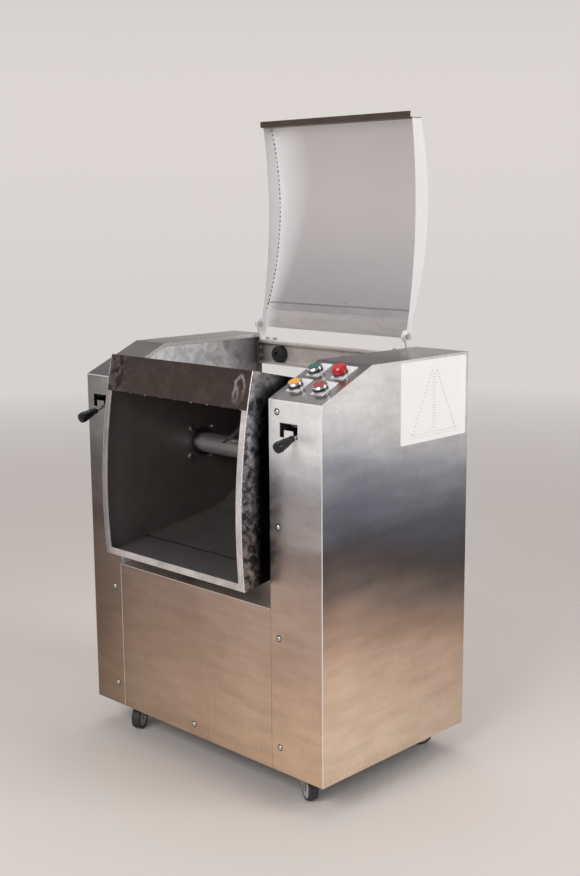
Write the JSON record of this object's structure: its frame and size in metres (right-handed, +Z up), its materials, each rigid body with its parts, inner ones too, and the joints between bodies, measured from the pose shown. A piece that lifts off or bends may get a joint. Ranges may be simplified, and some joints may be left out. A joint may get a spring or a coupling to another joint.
{
  "type": "meat mixer",
  "caption": "Floor-standing mixer with a tipping stainless tub, a paddle shaft, a curved lid on a rear crossbar, side latches, sloped controls and casters.",
  "frame": {"origin": "on the floor under the middle of the whole part, lid open and tub tipped forward", "axes": "+Z up, -Y the front that the tub tips to, +X the viewer's right, the tower with the controls"},
  "size_m": [0.68, 0.5488, 1.312],
  "materials": {
    "brushed_steel": "brushed stainless sheet",
    "dull_steel": "mill-finish stainless sheet",
    "tub_steel": "stainless sheet with weld tint and wear",
    "frame_paint": "black primer on steel tube",
    "zinc_plate": "bright zinc plate",
    "cast_iron": "machined cast iron",
    "motor_paint": "blue machine enamel",
    "chain_steel": "oiled chain steel",
    "rubber": "black rubber",
    "legend_aluminium": "silver legend plate",
    "black_plastic": "black moulded plastic",
    "ring_chrome": "bright ring",
    "lamp_red": "red lens",
    "bronze": "bearing bronze",
    "shaft_steel": "turned stainless bar",
    "start_green": "green cap",
    "jog_amber": "amber cap",
    "stop_red": "dark red cap",
    "wheel_rubber": "black tread"
  },
  "bodies": {
    "cabinet": {"frame": "frame_paint", "front_panel": "brushed_steel", "base_deck": "dull_steel", "rear_panel": "brushed_steel", "left_tower_casing": "brushed_steel", "right_tower_casing": "brushed_steel", "left_inner_wall": "dull_steel", "right_inner_wall": "dull_steel", "tower_rear_covers": "brushed_steel", "panel_screws": "zinc_plate", "crossbar": "dull_steel", "crossbar_bolts": "zinc_plate", "tub_buffers": "rubber", "hinge_brackets": "dull_steel", "hinge_pins": "zinc_plate", "bearing_housings": "cast_iron", "gearbox": "motor_paint", "motor": "motor_paint", "fan_cowl": "motor_paint", "terminal_box": "motor_paint", "drive_chain": "chain_steel", "legend_plates": "legend_aluminium", "button_collars": "black_plastic", "button_rings": "ring_chrome", "lamp_lens": "lamp_red", "contact_blocks": "black_plastic", "latch_guides": "cast_iron", "caster_plates": "zinc_plate", "cable_gland": "black_plastic"},
    "tub": {"tub_wrap": "tub_steel", "left_tub_side": "tub_steel", "right_tub_side": "tub_steel", "tub_rim": "brushed_steel", "tub_brow": "tub_steel", "trunnions": "cast_iron", "flange_bolts": "zinc_plate", "shaft_bushes": "bronze"},
    "mixing_rotor": {"mixer_shaft": "shaft_steel", "paddles": "tub_steel", "driven_sprocket": "cast_iron"},
    "drive_shaft": {"drive_sprocket": "cast_iron"},
    "lid": {"lid_sheet": "brushed_steel", "left_lid_cheek": "brushed_steel", "right_lid_cheek": "brushed_steel", "lid_lip": "tub_steel"},
    "left_latch_handle": {"left_latch": "brushed_steel", "left_knob": "black_plastic"},
    "right_latch_handle": {"right_latch": "brushed_steel", "right_knob": "black_plastic"},
    "start_button": {"start_button": "start_green"},
    "jog_button": {"jog_button": "jog_amber"},
    "stop_button": {"stop_button": "stop_red"},
    "caster_fl": {"caster_fork_fl": "zinc_plate"},
    "wheel_fl": {"caster_wheel_fl": "wheel_rubber"},
    "caster_fr": {"caster_fork_fr": "zinc_plate"},
    "wheel_fr": {"caster_wheel_fr": "wheel_rubber"},
    "caster_rl": {"caster_fork_rl": "zinc_plate"},
    "wheel_rl": {"caster_wheel_rl": "wheel_rubber"},
    "caster_rr": {"caster_fork_rr": "zinc_plate"},
    "wheel_rr": {"caster_wheel_rr": "wheel_rubber"}
  },
  "joints": [
    {"name": "tub_tilt", "type": "hinge", "parent": "cabinet", "child": "tub", "pos_m": [-0.019, 0.01343, 0.618], "axis": [-1, 0, 0], "range_deg": [0, 86]},
    {"name": "mixer_spin", "type": "hinge", "parent": "cabinet", "child": "mixing_rotor", "pos_m": [-0.019, 0.01343, 0.618], "axis": [1, 0, 0], "continuous": true},
    {"name": "drive_spin", "type": "hinge", "parent": "cabinet", "child": "drive_shaft", "pos_m": [0.272, 0.01343, 0.21965], "axis": [1, 0, 0], "continuous": true},
    {"name": "lid_hinge", "type": "hinge", "parent": "cabinet", "child": "lid", "pos_m": [-0.019, 0.20543, 0.862], "axis": [1, 0, 0], "range_deg": [0, 91]},
    {"name": "left_latch_lift", "type": "hinge", "parent": "cabinet", "child": "left_latch_handle", "pos_m": [-0.28, -0.16157, 0.731], "axis": [-1, 0, 0], "range_deg": [0, 18]},
    {"name": "right_latch_lift", "type": "hinge", "parent": "cabinet", "child": "right_latch_handle", "pos_m": [0.275, -0.16157, 0.731], "axis": [-1, 0, 0], "range_deg": [0, 18]},
    {"name": "start_press", "type": "slide", "parent": "cabinet", "child": "start_button", "axis": [0, 0.4036, -0.9149], "range_m": [0, 0.0032], "stiffness_N_per_m": 600},
    {"name": "jog_press", "type": "slide", "parent": "cabinet", "child": "jog_button", "axis": [0, 0.4036, -0.9149], "range_m": [0, 0.0032], "stiffness_N_per_m": 600},
    {"name": "stop_press", "type": "slide", "parent": "cabinet", "child": "stop_button", "axis": [0, 0.4036, -0.9149], "range_m": [0, 0.0032], "stiffness_N_per_m": 600},
    {"name": "caster_swivel_fl", "type": "hinge", "parent": "cabinet", "child": "caster_fl", "pos_m": [-0.25, -0.15357, 0.04], "axis": [0, 0, 1], "continuous": true},
    {"name": "caster_roll_fl", "type": "hinge", "parent": "caster_fl", "child": "wheel_fl", "pos_m": [-0.24155, -0.16946, 0.025], "axis": [0.8829, 0.4695, 0], "continuous": true},
    {"name": "caster_swivel_fr", "type": "hinge", "parent": "cabinet", "child": "caster_fr", "pos_m": [0.25, -0.15357, 0.04], "axis": [0, 0, 1], "continuous": true},
    {"name": "caster_roll_fr", "type": "hinge", "parent": "caster_fr", "child": "wheel_fr", "pos_m": [0.26589, -0.16202, 0.025], "axis": [0.4695, 0.8829, 0], "continuous": true},
    {"name": "caster_swivel_rl", "type": "hinge", "parent": "cabinet", "child": "caster_rl", "pos_m": [-0.25, 0.17243, 0.04], "axis": [0, 0, 1], "continuous": true},
    {"name": "caster_roll_rl", "type": "hinge", "parent": "caster_rl", "child": "wheel_rl", "pos_m": [-0.23411, 0.18088, 0.025], "axis": [-0.4695, 0.8829, 0], "continuous": true},
    {"name": "caster_swivel_rr", "type": "hinge", "parent": "cabinet", "child": "caster_rr", "pos_m": [0.25, 0.17243, 0.04], "axis": [0, 0, 1], "continuous": true},
    {"name": "caster_roll_rr", "type": "hinge", "parent": "caster_rr", "child": "wheel_rr", "pos_m": [0.25845, 0.18833, 0.025], "axis": [-0.8829, 0.4695, 0], "continuous": true}
  ],
  "couplings": [
    {"joint": "drive_spin", "follows": "mixer_spin", "ratio": 2}
  ]
}
